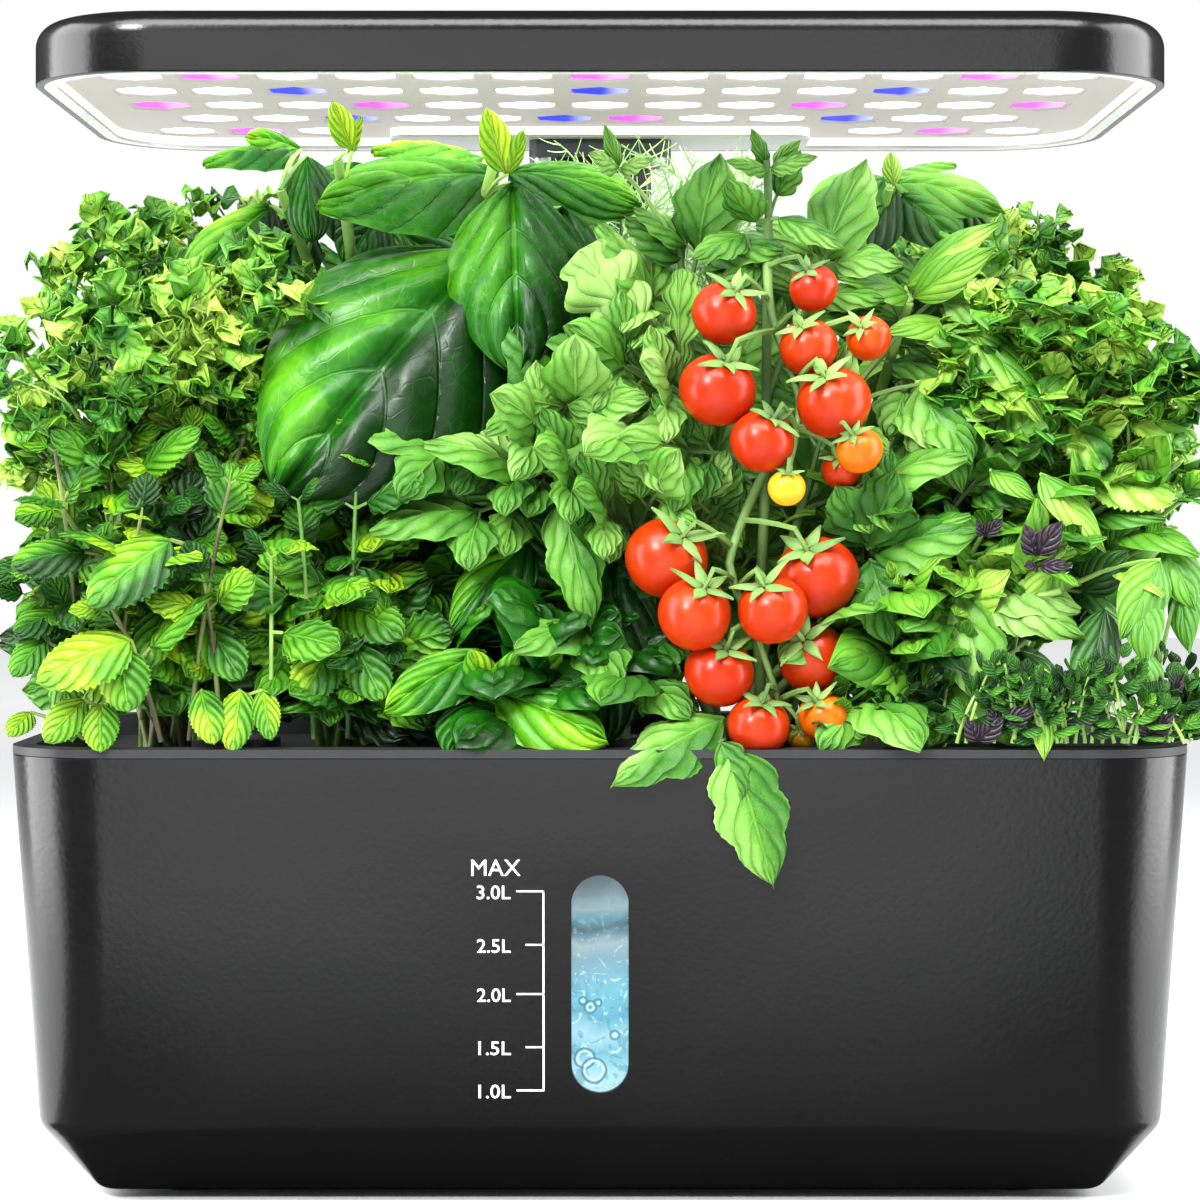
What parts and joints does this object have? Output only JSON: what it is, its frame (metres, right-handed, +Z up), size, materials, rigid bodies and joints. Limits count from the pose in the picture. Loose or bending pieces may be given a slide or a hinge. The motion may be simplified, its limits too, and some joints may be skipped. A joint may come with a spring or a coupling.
{
  "type": "countertop hydroponic garden",
  "caption": "Countertop water tank with a level window, a planted lift-off grow deck and a flat grow lamp with hexagonal lights on a telescopic mast.",
  "frame": {"origin": "on the table, under the middle of the tank's footprint", "axes": "+Z up, -Y is the front with the level window, +X to the right seen from the front"},
  "size_m": [0.2988, 0.1681, 0.291],
  "materials": {
    "tank_plastic": "satin",
    "clear_plastic": "gloss",
    "black_rubber": "matte",
    "deck_plastic": "satin",
    "pod_plastic": "satin",
    "grow_sponge": "matte",
    "herb_foliage": "satin",
    "pump_plastic": "satin",
    "white_plastic": "satin",
    "bare_steel": "satin",
    "filter_foam": "matte",
    "clear_tube": "gloss",
    "lead_rubber": "satin",
    "mast_metal": "satin",
    "lamp_plastic": "satin",
    "frame_plastic": "satin",
    "guide_plastic": "satin",
    "grille_plastic": "satin",
    "lens_white": "gloss",
    "lens_red": "gloss",
    "lens_blue": "gloss",
    "board_white": "satin",
    "chip_yellow": "gloss",
    "sink_metal": "satin",
    "board_green": "satin",
    "button_plastic": "satin",
    "light_pipe": "gloss",
    "inlet_plastic": "satin"
  },
  "bodies": {
    "reservoir": {"reservoir": "tank_plastic", "gauge_window": "clear_plastic", "window_gasket": "black_rubber", "feet": "black_rubber"},
    "deck": {"grow_deck": "deck_plastic", "flap_pin": "bare_steel", "pod_basket_1": "pod_plastic", "pod_basket_2": "pod_plastic", "pod_basket_3": "pod_plastic", "pod_basket_4": "pod_plastic", "pod_basket_5": "pod_plastic", "pod_basket_6": "pod_plastic", "pod_basket_7": "pod_plastic", "pod_basket_8": "pod_plastic", "pod_basket_9": "pod_plastic", "pod_basket_10": "pod_plastic", "grow_sponges": "grow_sponge", "curly_parsley_plant": "herb_foliage", "tall_basil_plant": "herb_foliage", "dill_plant": "herb_foliage", "smooth_basil_plant": "herb_foliage", "flat_parsley_plant": "herb_foliage", "mint_plant": "herb_foliage", "lemon_balm_plant": "herb_foliage", "sweet_basil_plant": "herb_foliage", "cherry_tomato_plant": "herb_foliage", "purple_basil_plant": "herb_foliage", "pump_body": "pump_plastic", "pump_cover": "pump_plastic", "pump_shaft": "bare_steel", "pump_filter": "filter_foam", "outlet_tube": "clear_tube", "pump_lead": "lead_rubber", "mast_socket": "pod_plastic", "mast_outer": "mast_metal", "dc_inlet": "inlet_plastic", "socket_screws": "bare_steel"},
    "flap": {"fill_flap": "deck_plastic"},
    "impeller": {"pump_impeller": "white_plastic"},
    "lamp": {"mast_inner": "mast_metal", "mast_head": "mast_metal", "lamp_housing": "lamp_plastic", "lamp_frame": "frame_plastic", "light_guide": "guide_plastic", "hex_grille": "grille_plastic", "white_lenses": "lens_white", "red_lenses": "lens_red", "blue_lenses": "lens_blue", "led_board": "board_white", "led_chips": "chip_yellow", "heat_sink": "sink_metal", "driver_board": "board_green", "indicator_lenses": "light_pipe", "head_screws": "bare_steel"},
    "light_button": {"light_button": "button_plastic"},
    "pump_button": {"pump_button": "button_plastic"}
  },
  "joints": [
    {"name": "deck_lift", "type": "slide", "parent": "reservoir", "child": "deck", "axis": [0, 0, 1], "range_m": [0, 0.12]},
    {"name": "lamp_height", "type": "slide", "parent": "deck", "child": "lamp", "axis": [0, 0, 1], "range_m": [0, 0.09]},
    {"name": "flap_hinge", "type": "hinge", "parent": "deck", "child": "flap", "pos_m": [0.113, -0.046, 0.1143], "axis": [-1, 0, 0], "range_deg": [0, 100]},
    {"name": "impeller_spin", "type": "hinge", "parent": "deck", "child": "impeller", "pos_m": [0, 0.022, 0.0185], "axis": [0, 0, 1], "continuous": true},
    {"name": "light_button_press", "type": "slide", "parent": "lamp", "child": "light_button", "axis": [0, 0, -1], "range_m": [0, 0.0008], "stiffness_N_per_m": 300, "springref_m": -0.002},
    {"name": "pump_button_press", "type": "slide", "parent": "lamp", "child": "pump_button", "axis": [0, 0, -1], "range_m": [0, 0.0008], "stiffness_N_per_m": 300, "springref_m": -0.002}
  ]
}
